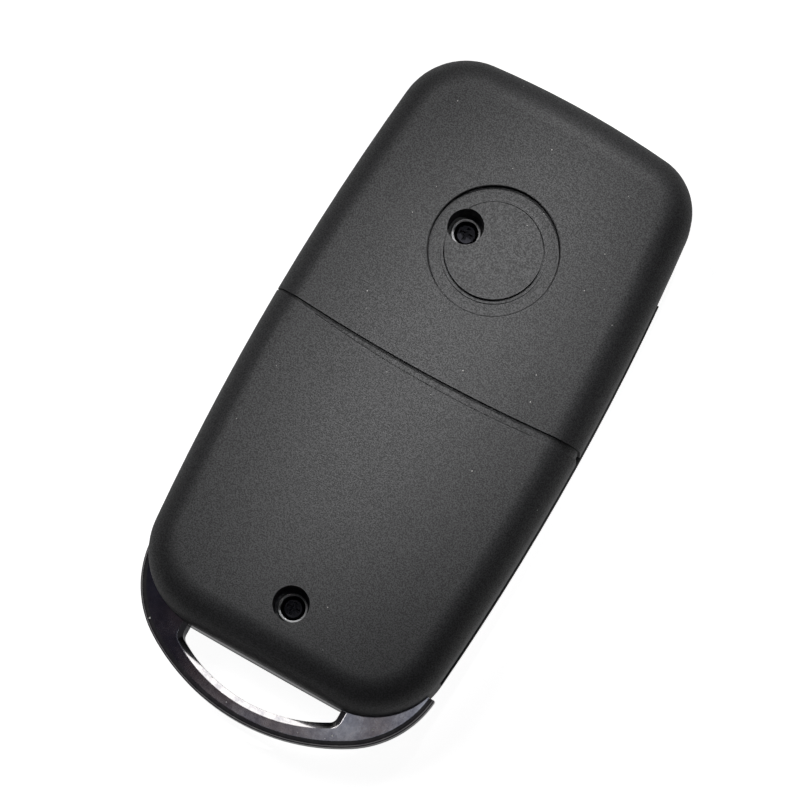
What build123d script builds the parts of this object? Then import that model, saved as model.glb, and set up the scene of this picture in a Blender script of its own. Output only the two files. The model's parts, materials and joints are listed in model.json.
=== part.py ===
"""Flip key remote shell: a two-part moulded case with a fold-out blade.

The key lies on its button face, so the plain back with the badge seat looks up.
Frame: X towards the blade side, Y towards the hinge end, Z up out of the back.
The origin is under the middle of the whole key, on the plane it rests on.
"""
import os
from math import asin, atan2, degrees, sqrt

from build123d import *

# Case: one outline for both mouldings, rounded front and back
key_length = 77.4
case_width = 38.0
case_thickness = 15.5
side_arc_radius = 300.0
widest_from_hinge_end = 37.0
hinge_end_bow = 1.35
loop_end_bow = 0.15
hinge_corner_radius = 8.0
blade_corner_radius = 6.9
loop_corner_radius = 8.8
back_edge_radius = 4.0
front_edge_radius = 3.4
side_wall = 1.8
back_wall = 1.9
front_wall = 1.8
parting_height = 8.0

# Key-ring loop: a plated zinc plate held between the two mouldings
loop_reach = 6.6
loop_offset = 0.37
loop_thickness = 4.0
loop_underside = 5.6
loop_bar_width = 2.3
loop_tip_radius = 23.5
loop_shoulder_radius = 11.8
loop_shoulder_x = 18.0
loop_edge_round = 0.7
loop_slot_bevel = 0.65
loop_slot_bevel_drop = 0.25
loop_slot_side = 1.5
loop_slot_arc_radius = 18.0
loop_slot_corner_radius = 0.9
loop_seat_from_end = 5.9
loop_lobe_radius = 4.6
loop_clearance = 0.05

# Pivot of the blade and the barrel-shaped hub on it
pivot_from_side = 10.8
pivot_from_hinge_end = 10.05
hub_radius = 8.4
hub_front_boss_radius = 7.4
hub_front_recess = 0.5
hub_shoulder_gap = 0.1
hub_collar = 3.0
hub_chamber_radius = 7.0
hub_end_gap = 0.05
hub_clearance = 0.25
hub_edge_round = 0.6
boss_clearance = 0.15
cover_thickness = 0.8
cover_ledge = 0.4
cover_collar_length = 1.2
cover_collar_wall = 1.0
washer_thickness = 0.4
washer_radius = 6.0
seat_pad_height = 0.3
spigot_radius = 3.0
spigot_fit = 0.06
spigot_key_flats = 4.4
spigot_end_gap = 0.2
spigot_round_overrun = 0.15

# Arm of the hub, blade blank and its roll pin
arm_reach = 12.4
arm_thickness = 4.0
arm_inner_offset = -0.6
arm_corner_radius = 1.0
arm_outer_inset = 0.2
blade_thickness = 2.2
blade_width = 8.0
blade_inner_offset = 0.2
blade_tip_length = 4.0
blade_tip_width = 3.0
blade_groove_width = 2.4
blade_groove_depth = 0.45
blade_groove_offset = 1.3
blade_edge_chamfer = 0.25
tang_length = 3.8
tang_inset = 1.0
tang_fit = 0.03
pin_diameter = 1.6
pin_wall = 0.3
pin_slit = 0.35
pin_fit = 0.02
slot_clearance = 0.3
slot_end_gap = 1.0
slot_end_wall = 2.0

# Release button, its latch core and the flip spring
cap_radius = 5.0
cap_recess = 0.4
cap_face = 1.2
cap_bore_radius = 4.15
cap_clearance = 0.1
cap_edge_round = 0.5
core_flange_radius = 6.2
core_flange_thickness = 1.8
core_gap = 0.1
core_sleeve_radius = 4.2
core_sleeve_length = 2.8
core_key_fit = 0.06
core_socket_floor = 0.3
core_stub_fit = 0.05
latch_wing_reach = 6.85
latch_wing_width = 3.4
release_travel = 1.5
spring_wire = 1.0
spring_mean_radius = 5.45
spring_turns = 3.5
spring_end_gap = 0.05
spring_wire_sides = 8

# Remote buttons, rubber pad and the tray that clamps the pad
button_count = 3
button_corner_radius = 2.4
button_gap = 0.2
button_recess = 0.35
button_face_round = 0.5
button_flange = 0.6
button_flange_thickness = 0.8
button_body = 2.6
button_travel = 0.6
well_wall = 0.8
well_web = 1.0
well_height = 2.5
well_gap = 0.2
pad_thickness = 0.8
pad_key_gap = 0.05
pad_key_radius = 1.8
tray_thickness = 1.2
tray_gap = 0.75
tray_to_lower_boss = 2.4
tray_to_upper_boss = 3.25
tray_side_margin = 1.6
tray_end_margin = 0.8
tray_window_radius = 3.0
tray_peg_radius = 0.6
tray_peg_height = 1.0
tray_post_radius = 0.75
tray_corner_radius = 2.0
bay_from_side = 3.4

# Screws and their bosses
screw_head_radius = 1.3
screw_head_height = 1.0
screw_head_chamfer = 0.3
screw_length = 6.2
screw_radius = 0.6
screw_point = 1.0
screw_tip_radius = 0.08
screw_recess_width = 0.4
screw_recess_span = 1.5
screw_recess_depth = 0.6
counterbore_radius = 2.03
counterbore_depth = 4.7
boss_ring_radius = 1.65
boss_ring_wall = 0.29
boss_ring_height = 0.3
screw_seat_depth = 1.2
clearance_radius = 0.75
pilot_radius = 0.62
pilot_depth = 5.3
rear_boss_radius = 2.9
front_boss_radius = 2.4
boss_split_height = 8.4
upper_screw_x = -4.0
upper_screw_from_hinge_end = 18.35
lower_screw_from_loop_end = 7.0

# Badge seat, styling channel, lap joint and ribs
badge_from_hinge_end = 19.2
badge_radius = 7.31
badge_depth = 0.7
badge_step_radius = 5.85
badge_step_depth = 0.55
badge_disc_radius = 5.42
badge_disc_depth = 0.12
badge_line_width = 0.14
badge_line_depth = 0.95
channel_from_hinge_end = 35.15
channel_rise = 1.2
channel_depth = 0.6
channel_side_depth = 0.35
channel_left_width = 0.2
channel_middle_width = 1.0
channel_right_width = 0.9
lap_height = 0.8
lap_thickness = 0.9
lap_clearance = 0.05
rib_thickness = 1.0
rib_pitch = 7.5
first_rib_from_slot_end = 4.5
corner_cut_from_hinge_end = 13.8

# Places worked out from the sizes above
case_length = key_length - loop_reach
case_top = key_length / 2
case_low = case_top - case_length
loop_tip = case_low - loop_reach
widest_y = case_top - widest_from_hinge_end
pivot_x = case_width / 2 - pivot_from_side
pivot_y = case_top - pivot_from_hinge_end
roof = case_thickness - back_wall
loop_top = loop_underside + loop_thickness
loop_slot_drop = loop_reach - loop_bar_width - loop_slot_side
loop_slot_half_width = sqrt(2 * loop_slot_arc_radius * loop_slot_drop - loop_slot_drop ** 2)
loop_seat_y = case_low + loop_seat_from_end
lower_screw_y = case_low + lower_screw_from_loop_end
upper_screw_y = case_top - upper_screw_from_hinge_end
badge_y = case_top - badge_from_hinge_end
channel_y = case_top - channel_from_hinge_end
screw_places = {"upper": (upper_screw_x, upper_screw_y), "lower": (0.0, lower_screw_y)}
well_floor = case_thickness - counterbore_depth
screw_seat = well_floor - screw_seat_depth

washer_top = roof - seat_pad_height
hub_top = washer_top - washer_thickness - hub_end_gap
hub_shoulder = front_wall + hub_shoulder_gap
hub_space = hub_radius + hub_clearance
hub_collar_top = hub_front_recess + hub_collar
cover_underside = hub_top - cover_thickness
arm_top = parting_height - hub_clearance
arm_underside = arm_top - arm_thickness
blade_height = arm_top - arm_thickness / 2
arm_end_y = pivot_y - arm_reach
window_low = arm_underside - hub_clearance
slot_low = blade_height - blade_thickness / 2 - slot_clearance
slot_end_y = loop_seat_y + loop_clearance + slot_end_wall
blade_tip_y = slot_end_y + slot_end_gap
blade_middle_x = pivot_x + blade_inner_offset + blade_width / 2
pin_y = arm_end_y + tang_length / 2
rib_face_x = pivot_x + arm_inner_offset - hub_clearance
window_end_y = arm_end_y - 2 * hub_clearance
first_rib_y = slot_end_y + first_rib_from_slot_end
rib_count = 1 + int((window_end_y - rib_thickness - first_rib_y) / rib_pitch)
corner_cut_y = case_top - corner_cut_from_hinge_end

core_flange_low = hub_collar_top + core_gap
core_flange_top = core_flange_low + core_flange_thickness
core_sleeve_top = core_flange_top + core_sleeve_length
spigot_low = core_flange_low + core_socket_floor + release_travel + spigot_end_gap
spigot_round_low = cover_underside - cover_collar_length - spigot_round_overrun
well_top = front_wall + well_height
pad_key_low = button_recess + button_body + button_travel + pad_key_gap
pad_top = well_top + pad_thickness
tray_top = pad_top + tray_thickness
bay_left = -case_width / 2 + bay_from_side
bay_right = rib_face_x - rib_thickness
bay_middle_x = (bay_left + bay_right) / 2
tray_width = bay_right - bay_left - 2 * tray_gap
well_width = tray_width - 2 * tray_side_margin
button_width = well_width - 2 * (button_flange + well_gap + well_wall)
tray_low = lower_screw_y + rear_boss_radius + tray_to_lower_boss
tray_high = upper_screw_y - rear_boss_radius - tray_to_upper_boss
tray_length = tray_high - tray_low
pad_length = tray_length - 2 * tray_end_margin
button_pitch = (pad_length - 2 * well_wall + well_web) / button_count
button_length = button_pitch - well_web - 2 * (button_flange + well_gap)
button_row_y = (tray_low + tray_high) / 2
button_ys = [button_row_y + button_pitch * (i - (button_count - 1) / 2) for i in range(button_count)]
tray_post_x = tray_width / 2 - tray_post_radius
tray_post_y = button_pitch * (button_count - 1) / 2
far = 2 * case_length
over = 1.0
close = 0.01


def block(x0, x1, y0, y1, z0, z1):
    """A box between two corners."""
    return Pos((x0 + x1) / 2, (y0 + y1) / 2, (z0 + z1) / 2) * Box(x1 - x0, y1 - y0, z1 - z0)


def rod(x, y, radius, z0, z1):
    """An upright cylinder between two heights."""
    return Pos(x, y, (z0 + z1) / 2) * Cylinder(radius, z1 - z0)


def slab(z0, z1):
    """Everything between two heights."""
    return block(-far, far, -far, far, z0, z1)


def raised(face, z0, z1):
    """A flat face extruded between two heights."""
    return Pos(0, 0, z0) * extrude(face, z1 - z0)


def rounded_plate(x, y, width, length, radius, z0, z1):
    """A plate with rounded corners about a middle point."""
    return Pos(x, y, 0) * raised(RectangleRounded(width, length, radius), z0, z1)


def side_x(y, inset=0.0):
    """Half width of the case at a place along its length."""
    centre_x = case_width / 2 - side_arc_radius
    return centre_x + sqrt((side_arc_radius - inset) ** 2 - (y - widest_y) ** 2)


def case_outline(inset=0.0):
    """Barrel-sided plan of the case, drawn in by an inset."""
    top = case_top - inset
    low = case_low + inset
    top_y = top - hinge_end_bow
    low_y = low + loop_end_bow
    top_x = side_x(top_y, inset)
    low_x = side_x(low_y, inset)
    waist_x = side_x(widest_y, inset)
    edges = [
        ThreePointArc((low_x, low_y), (waist_x, widest_y), (top_x, top_y)),
        ThreePointArc((top_x, top_y), (0, top), (-top_x, top_y)),
        ThreePointArc((-top_x, top_y), (-waist_x, widest_y), (-low_x, low_y)),
        ThreePointArc((-low_x, low_y), (0, low), (low_x, low_y)),
    ]
    face = make_face(edges)
    plain_corner = face.vertices().group_by(Axis.Y)[-1].sort_by(Axis.X)[0]
    face = fillet(plain_corner, hinge_corner_radius - inset)
    blade_corner = face.vertices().sort_by(Axis.X)[-2:].sort_by(Axis.Y)[-1]
    face = fillet(blade_corner, blade_corner_radius - inset)
    return fillet(face.vertices().group_by(Axis.Y)[0], loop_corner_radius - inset)


def case_form(inset, z0, z1, low_round, high_round):
    """The rounded pebble of the case, drawn in by an inset."""
    body = raised(case_outline(inset), z0, z1)
    body = fillet(body.edges().group_by(Axis.Z)[-1], high_round)
    return fillet(body.edges().group_by(Axis.Z)[0], low_round)


case_outside = case_form(0.0, 0.0, case_thickness, front_edge_radius, back_edge_radius)
case_inside = case_form(
    side_wall, front_wall, roof, front_edge_radius - front_wall, back_edge_radius - back_wall
)
rear_half = slab(parting_height, case_thickness + over)
front_half = slab(-over, parting_height)


def loop_outline():
    """Plan of the plate: a bowed tip between two round shoulders."""
    tip_y = loop_tip + loop_tip_radius
    shoulder_x = loop_shoulder_x - loop_shoulder_radius
    rise = sqrt((loop_tip_radius - loop_shoulder_radius) ** 2 - shoulder_x ** 2)
    shoulder_y = tip_y - rise
    meet = degrees(atan2(-rise, shoulder_x))
    seat = degrees(asin((loop_seat_y - shoulder_y) / loop_shoulder_radius))
    right = CenterArc((shoulder_x, shoulder_y), loop_shoulder_radius, seat, meet - seat)
    tip = CenterArc((0, tip_y), loop_tip_radius, meet, -180 - 2 * meet)
    left = CenterArc((-shoulder_x, shoulder_y), loop_shoulder_radius, 180 - seat, seat - meet)
    return make_face([right, tip, left, Line(right @ 0, left @ 0)])


def loop_slot():
    """Crescent slot for the key ring between the case end and the bar."""
    inner_y = loop_tip + loop_bar_width
    side_y = case_low - loop_slot_side
    half = loop_slot_half_width
    edges = [
        Line((-half, case_low), (half, case_low)),
        Line((half, case_low), (half, side_y)),
        ThreePointArc((half, side_y), (0, inner_y), (-half, side_y)),
        Line((-half, side_y), (-half, case_low)),
    ]
    face = make_face(edges)
    return fillet(face.vertices().group_by(Axis.Y)[0], loop_slot_corner_radius)


def on_slot_rim(edge):
    """Whether an edge lies on the outer rim of the slot, away from the case end."""
    middle = edge.position_at(0.5)
    inside = abs(middle.X - loop_offset) < loop_slot_half_width + close
    return inside and loop_tip + loop_bar_width - close < middle.Y < case_low - close


def make_ring_loop():
    """Key-ring loop with softened rim, bevelled slot and the hole for the screw boss."""
    plate = raised(Pos(loop_offset, 0) * loop_outline(), loop_underside, loop_top)
    rim = plate.edges().filter_by(Plane.XY).filter_by(GeomType.CIRCLE)
    plate = fillet(rim, loop_edge_round)
    plate -= raised(Pos(loop_offset, 0) * loop_slot(), loop_underside - over, loop_top + over)
    for side in (0, -1):
        flat = plate.faces().filter_by(Plane.XY).sort_by(Axis.Z)[side]
        rims = [e for e in flat.edges() if on_slot_rim(e)]
        plate = chamfer(rims, loop_slot_bevel, loop_slot_bevel_drop, reference=flat)
    plate += rod(0, lower_screw_y, loop_lobe_radius, loop_underside, loop_top)
    boss_space = rear_boss_radius + boss_clearance
    return plate - rod(0, lower_screw_y, boss_space, loop_underside - over, loop_top + over)


def inner_wall_plan():
    """Wall that parts the board bay from the hub and the blade channel."""
    ring = Pos(pivot_x, pivot_y) * (Circle(hub_space + rib_thickness) - Circle(hub_space))
    quarter = Pos(rib_face_x - far / 2, pivot_y - far / 2) * Rectangle(far, far)
    straight = Pos(pivot_x - hub_space - rib_thickness / 2, (pivot_y + case_top) / 2)
    rib_low = loop_seat_y + loop_clearance
    rib_high = pivot_y - hub_space
    rib = Pos(rib_face_x - rib_thickness / 2, (rib_low + rib_high) / 2)
    plan = ring & quarter
    plan += straight * Rectangle(rib_thickness, case_top - pivot_y)
    return plan + rib * Rectangle(rib_thickness, rib_high - rib_low)


def channel_end_wall(z0, z1):
    """Cross wall that closes the blade channel beside the loop."""
    return block(rib_face_x - rib_thickness, far, loop_seat_y + loop_clearance, slot_end_y, z0, z1)


def channel_ribs(z0, z1):
    """Cross ribs that the folded blade lies between."""
    ribs = []
    for i in range(rib_count):
        y = first_rib_y + rib_pitch * i
        ribs.append(block(rib_face_x - rib_thickness / 2, far, y, y + rib_thickness, z0, z1))
    return ribs


def blade_window(z0, z1):
    """Space swept by the arm of the hub where it leaves the case."""
    top_side = block(pivot_x - hub_space, far, pivot_y, far, z0, z1)
    blade_side = block(pivot_x, far, window_end_y, pivot_y + over, z0, z1)
    return top_side + blade_side


def blade_slot():
    """Open slot along the side of the front moulding for the folded blade."""
    return block(rib_face_x, far, slot_end_y, pivot_y, slot_low, parting_height + over)


def loop_seat():
    """Gap between the two mouldings that holds the loop plate."""
    z0 = loop_underside - loop_clearance
    z1 = loop_top + loop_clearance
    lobe = rod(0, lower_screw_y, loop_lobe_radius + loop_clearance, z0, z1)
    return block(-far, far, -far, loop_seat_y + loop_clearance, z0, z1) + lobe


def lap_ring(outer_inset, inner_inset, z1):
    """Ring along the closed part of the parting line for the lap joint."""
    ring = raised(case_outline(outer_inset) - case_outline(inner_inset), parting_height, z1)
    reach = block(-far, pivot_x - hub_space - rib_thickness, slot_end_y, far, parting_height, z1)
    return ring & reach


def style_channel():
    """Bowed channel across the back, deeper on the face than round the sides."""
    half = case_width / 2 + over
    left_y = channel_y + channel_rise
    low = ThreePointArc(
        (-half, left_y - channel_left_width / 2),
        (0, channel_y - channel_middle_width / 2),
        (half, left_y - channel_right_width / 2),
    )
    high = ThreePointArc(
        (half, left_y + channel_right_width / 2),
        (0, channel_y + channel_middle_width / 2),
        (-half, left_y + channel_left_width / 2),
    )
    band = make_face([low, Line(low @ 1, high @ 0), high, Line(high @ 1, low @ 0)])
    core = case_form(
        channel_side_depth,
        0.0,
        case_thickness - channel_depth,
        front_edge_radius,
        back_edge_radius - channel_side_depth,
    )
    return raised(band, parting_height - over, case_thickness + over) - core


def badge_seat():
    """Round recess, lined along its rim and round the raised disc that a badge would sit on."""
    rings = (
        (badge_radius, badge_radius - badge_line_width, badge_line_depth),
        (badge_radius - badge_line_width, badge_step_radius, badge_depth),
        (badge_step_radius, badge_disc_radius + badge_line_width, badge_step_depth),
        (badge_disc_radius + badge_line_width, badge_disc_radius, badge_line_depth),
        (badge_disc_radius, 0, badge_disc_depth),
    )
    recess = []
    for outer, inner, depth in rings:
        ring = rod(0, badge_y, outer, case_thickness - depth, case_thickness + over)
        if inner:
            ring -= rod(0, badge_y, inner, 0, case_thickness + 2 * over)
        recess.append(ring)
    return recess


def make_rear_shell():
    """Back moulding with badge seat, styling channel, bosses and the hub spigot."""
    shell = (case_outside - case_inside) & rear_half
    inner = raised(inner_wall_plan(), parting_height, roof)
    inner += channel_end_wall(parting_height, roof)
    for rib in channel_ribs(parting_height, roof):
        inner += rib
    shell += inner & case_inside
    for x, y in screw_places.values():
        shell += rod(x, y, rear_boss_radius, boss_split_height, roof)
    shell -= rod(pivot_x, pivot_y, hub_space, parting_height, hub_top + hub_end_gap)
    shell += rod(pivot_x, pivot_y, washer_radius, washer_top, roof)
    shell += rod(pivot_x, pivot_y, spigot_radius, spigot_round_low, roof)
    key = RegularPolygon(spigot_key_flats / 2, 6, major_radius=False)
    shell += Pos(pivot_x, pivot_y, 0) * raised(key, spigot_low, roof)
    shell -= loop_seat()
    shell -= lap_ring(
        side_wall - lap_thickness - lap_clearance,
        side_wall + lap_clearance,
        parting_height + lap_height + lap_clearance,
    )
    shell -= style_channel()
    for recess in badge_seat():
        shell -= recess
    for x, y in screw_places.values():
        shell -= rod(x, y, counterbore_radius, well_floor, case_thickness + over)
        shell += rod(x, y, boss_ring_radius, well_floor, well_floor + boss_ring_height)
        shell -= rod(x, y, boss_ring_radius - boss_ring_wall, screw_seat, case_thickness)
        shell -= rod(x, y, clearance_radius, 0, case_thickness)
    return shell


def button_wells():
    """Rims inside the front that guide the buttons and carry the rubber pad."""
    inner_width = well_width - 2 * well_wall
    inner_length = button_pitch - well_web
    radius = button_corner_radius + button_flange + well_gap
    wells = rounded_plate(
        bay_middle_x, button_row_y, well_width, pad_length, radius + well_wall, front_wall, well_top
    )
    for y in button_ys:
        wells -= rounded_plate(
            bay_middle_x, y, inner_width, inner_length, radius, front_wall, well_top + over
        )
    return wells


def make_front_shell():
    """Button-side moulding with wells, screw bosses and the open hinge corner."""
    shell = (case_outside - case_inside) & front_half
    inner = raised(inner_wall_plan(), front_wall, parting_height)
    inner += channel_end_wall(front_wall, parting_height)
    for rib in channel_ribs(front_wall, slot_low):
        inner += rib
    inner += button_wells()
    for x in (-tray_post_x, tray_post_x):
        for y in (-tray_post_y, tray_post_y):
            inner += rod(bay_middle_x + x, button_row_y + y, tray_post_radius, front_wall, pad_top)
    shell += inner & case_inside
    shell += lap_ring(side_wall - lap_thickness, side_wall, parting_height + lap_height)
    shell -= rod(pivot_x, pivot_y, hub_space, front_wall, parting_height + over)
    shell -= rod(pivot_x, pivot_y, hub_front_boss_radius + boss_clearance, -over, front_wall + over)
    shell -= block(pivot_x, far, corner_cut_y, far, -over, parting_height + over)
    shell -= blade_window(window_low, parting_height + over)
    shell -= blade_slot()
    shell -= loop_seat()
    for x, y in screw_places.values():
        shell += rod(x, y, front_boss_radius, front_wall, boss_split_height)
        shell -= rod(x, y, pilot_radius, boss_split_height - pilot_depth, boss_split_height)
    for y in button_ys:
        shell -= rounded_plate(
            bay_middle_x,
            y,
            button_width + 2 * button_gap,
            button_length + 2 * button_gap,
            button_corner_radius + button_gap,
            -over,
            front_wall,
        )
    return shell


def make_blade_hub():
    """Cast hub: a barrel with the spring chamber and an arm that grips the blade."""
    hub = rod(pivot_x, pivot_y, hub_radius, hub_shoulder, hub_top)
    hub += rod(pivot_x, pivot_y, hub_front_boss_radius, hub_front_recess, hub_shoulder)
    hub = fillet(hub.edges().group_by(Axis.Z)[0], hub_edge_round)
    arm = block(
        pivot_x + arm_inner_offset,
        pivot_x + hub_radius - arm_outer_inset,
        arm_end_y,
        pivot_y,
        arm_underside,
        arm_top,
    )
    ends = arm.edges().filter_by(Axis.Z).group_by(Axis.Y)[0]
    hub += fillet(ends, arm_corner_radius)
    hub -= rod(pivot_x, pivot_y, cap_radius + cap_clearance, 0, hub_collar_top)
    hub -= rod(pivot_x, pivot_y, hub_chamber_radius, hub_collar_top, hub_top)
    hub -= rod(pivot_x, pivot_y, hub_chamber_radius + cover_ledge, cover_underside, hub_top + over)
    hub -= block(
        blade_middle_x - blade_width / 2 + tang_inset - tang_fit,
        blade_middle_x + blade_width / 2 - tang_inset + tang_fit,
        arm_end_y - over,
        arm_end_y + tang_length + tang_fit,
        blade_height - blade_thickness / 2 - tang_fit,
        blade_height + blade_thickness / 2 + tang_fit,
    )
    return hub - rod(blade_middle_x, pin_y, pin_diameter / 2 + pin_fit, 0, case_thickness)


def make_hub_cover():
    """Disc pressed into the hub, with the collar that turns on the spigot."""
    disc = rod(pivot_x, pivot_y, hub_chamber_radius + cover_ledge, cover_underside, hub_top)
    collar_radius = spigot_radius + spigot_fit + cover_collar_wall
    disc += rod(pivot_x, pivot_y, collar_radius, cover_underside - cover_collar_length, cover_underside)
    return disc - rod(pivot_x, pivot_y, spigot_radius + spigot_fit, 0, case_thickness)


def make_hub_washer():
    """Steel washer between the hub and the rear shell."""
    washer = rod(pivot_x, pivot_y, washer_radius, washer_top - washer_thickness, washer_top)
    return washer - rod(pivot_x, pivot_y, spigot_radius + spigot_fit, 0, case_thickness)


def make_key_blade():
    """Uncut blade blank with a stepped tang, a pointed tip and a groove in each face."""
    half = blade_width / 2
    shoulder_y = arm_end_y - tang_fit
    half_tang = half - tang_inset
    plan = make_face(
        Polyline(
            (-half_tang, arm_end_y + tang_length),
            (-half_tang, shoulder_y),
            (-half, shoulder_y),
            (-half, blade_tip_y + blade_tip_length),
            (-blade_tip_width / 2, blade_tip_y),
            (blade_tip_width / 2, blade_tip_y),
            (half, blade_tip_y + blade_tip_length),
            (half, shoulder_y),
            (half_tang, shoulder_y),
            (half_tang, arm_end_y + tang_length),
            close=True,
        )
    )
    low = blade_height - blade_thickness / 2
    high = blade_height + blade_thickness / 2
    blade = raised(plan, low, high)
    sides = blade.faces().filter_by(Axis.X).filter_by(lambda f: abs(f.center().X) > half - close)
    blade = chamfer([e for f in sides for e in f.edges().filter_by(Axis.Y)], blade_edge_chamfer)
    groove = blade_groove_width / 2
    for offset, z0, z1 in (
        (-blade_groove_offset, low - over, low + blade_groove_depth),
        (blade_groove_offset, high - blade_groove_depth, high + over),
    ):
        blade -= block(offset - groove, offset + groove, blade_tip_y - over, shoulder_y, z0, z1)
    blade -= rod(0, pin_y, pin_diameter / 2 + pin_fit, 0, case_thickness)
    return Pos(blade_middle_x, 0, 0) * blade


def make_blade_pin():
    """Rolled spring pin, a tube with a slit along it."""
    pin = rod(0, 0, pin_diameter / 2, arm_underside, arm_top)
    pin -= rod(0, 0, pin_diameter / 2 - pin_wall, 0, case_thickness)
    pin -= block(0, far, -pin_slit / 2, pin_slit / 2, 0, case_thickness)
    return Pos(blade_middle_x, pin_y, 0) * pin


def make_release_cap():
    """Bright cap that the thumb presses to free the blade."""
    skirt_top = core_flange_low
    cap = rod(pivot_x, pivot_y, cap_radius, cap_recess, skirt_top)
    cap = fillet(cap.edges().group_by(Axis.Z)[0], cap_edge_round)
    return cap - rod(pivot_x, pivot_y, cap_bore_radius, cap_recess + cap_face, skirt_top + over)


def make_latch_core():
    """Core behind the cap: flange with two latch wings and a keyed sleeve."""
    stub_radius = cap_bore_radius - core_stub_fit
    core = rod(0, 0, stub_radius, cap_recess + cap_face + core_stub_fit, core_flange_low)
    core += rod(0, 0, core_flange_radius, core_flange_low, core_flange_top)
    wings = rod(0, 0, latch_wing_reach, core_flange_low, core_flange_top)
    core += wings & block(-far, far, -latch_wing_width / 2, latch_wing_width / 2, 0, case_thickness)
    core += rod(0, 0, core_sleeve_radius, core_flange_top, core_sleeve_top)
    socket = RegularPolygon(spigot_key_flats / 2 + core_key_fit, 6, major_radius=False)
    core -= raised(socket, core_flange_low + core_socket_floor, core_sleeve_top + over)
    return Pos(pivot_x, pivot_y, 0) * core


def make_flip_spring():
    """Coil that pushes the latch out and turns the blade open."""
    low = core_flange_top + spring_end_gap + spring_wire / 2
    high = cover_underside - spring_end_gap - spring_wire / 2
    path = Helix((high - low) / spring_turns, high - low, spring_mean_radius)
    wire = Plane(path @ 0, z_dir=path % 0) * RegularPolygon(spring_wire / 2, spring_wire_sides)
    return Pos(pivot_x, pivot_y, low) * sweep(wire, path, is_frenet=True)


def make_button(y):
    """Hard button cap with the flange that keeps it in its opening."""
    face_z = button_recess
    body = rounded_plate(
        bay_middle_x, y, button_width, button_length, button_corner_radius, face_z, face_z + button_body
    )
    body = fillet(body.edges().group_by(Axis.Z)[0], button_face_round)
    flange_low = front_wall + cap_clearance
    return body + rounded_plate(
        bay_middle_x,
        y,
        button_width + 2 * button_flange,
        button_length + 2 * button_flange,
        button_corner_radius + button_flange,
        flange_low,
        flange_low + button_flange_thickness,
    )


def make_button_pad():
    """Rubber pad with one raised key behind each button."""
    pad = rounded_plate(
        bay_middle_x, button_row_y, well_width, pad_length, button_corner_radius, well_top, pad_top
    )
    for y in button_ys:
        pad += rod(bay_middle_x, y, pad_key_radius, pad_key_low, well_top)
    return pad


def make_board_tray():
    """Tray that clamps the pad and locates the circuit board with two pegs."""
    tray = rounded_plate(
        bay_middle_x, button_row_y, tray_width, tray_length, tray_corner_radius, pad_top, tray_top
    )
    for y in button_ys:
        tray -= rod(bay_middle_x, y, tray_window_radius, pad_top - over, tray_top + over)
    peg_top = tray_top + tray_peg_height
    for x in (-tray_post_x, tray_post_x):
        tray += rod(bay_middle_x + x, button_row_y, tray_peg_radius, tray_top, peg_top)
    return tray


def make_case_screw(place):
    """Small pan-head screw with a cross recess and a point."""
    head_top = screw_seat + screw_head_height
    screw = rod(0, 0, screw_head_radius, screw_seat, head_top)
    screw = chamfer(screw.edges().group_by(Axis.Z)[-1], screw_head_chamfer)
    long = screw_recess_span / 2
    short = screw_recess_width / 2
    for x, y in ((short, long), (long, short)):
        screw -= block(-x, x, -y, y, head_top - screw_recess_depth, head_top + over)
    tip = screw_seat - screw_length
    screw += rod(0, 0, screw_radius, tip + screw_point, screw_seat)
    point = Cone(screw_tip_radius, screw_radius, screw_point)
    screw += Pos(0, 0, tip + screw_point / 2) * point
    return Pos(*screw_places[place]) * screw


parts = {
    "rear_shell": make_rear_shell(),
    "front_shell": make_front_shell(),
    "ring_loop": make_ring_loop(),
    "blade_hub": make_blade_hub(),
    "hub_cover": make_hub_cover(),
    "hub_washer": make_hub_washer(),
    "key_blade": make_key_blade(),
    "blade_pin": make_blade_pin(),
    "release_cap": make_release_cap(),
    "latch_core": make_latch_core(),
    "flip_spring": make_flip_spring(),
    "button_pad": make_button_pad(),
    "board_tray": make_board_tray(),
    "case_screw_upper": make_case_screw("upper"),
    "case_screw_lower": make_case_screw("lower"),
}
for name, y in zip(("boot_button", "unlock_button", "lock_button"), button_ys):
    parts[name] = make_button(y)

os.makedirs("parts", exist_ok=True)
for name, shape in parts.items():
    export_step(shape, f"parts/{name}.step")
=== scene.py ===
# %% [markdown]
# # Flip key remote shell
# A folded car key lies on its buttons on a white table, and the camera looks down on its plain back.
# The imported CAD model comes first, as a fixed frame that holds every size and every moving body.
# Blender then gives each surface its finish, and adds what is too fine for the CAD: screw threads, rims with
# a painted highlight, thin lines of painted shade, a coil of round wire, printed signs, grain and dust.
# Everything is in metres. Z points up out of the back, Y towards the hinge end and X towards the blade.

import json
from math import cos, dist, pi, radians, sin

import bmesh
import bpy
from mathutils import Matrix, Vector


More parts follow.
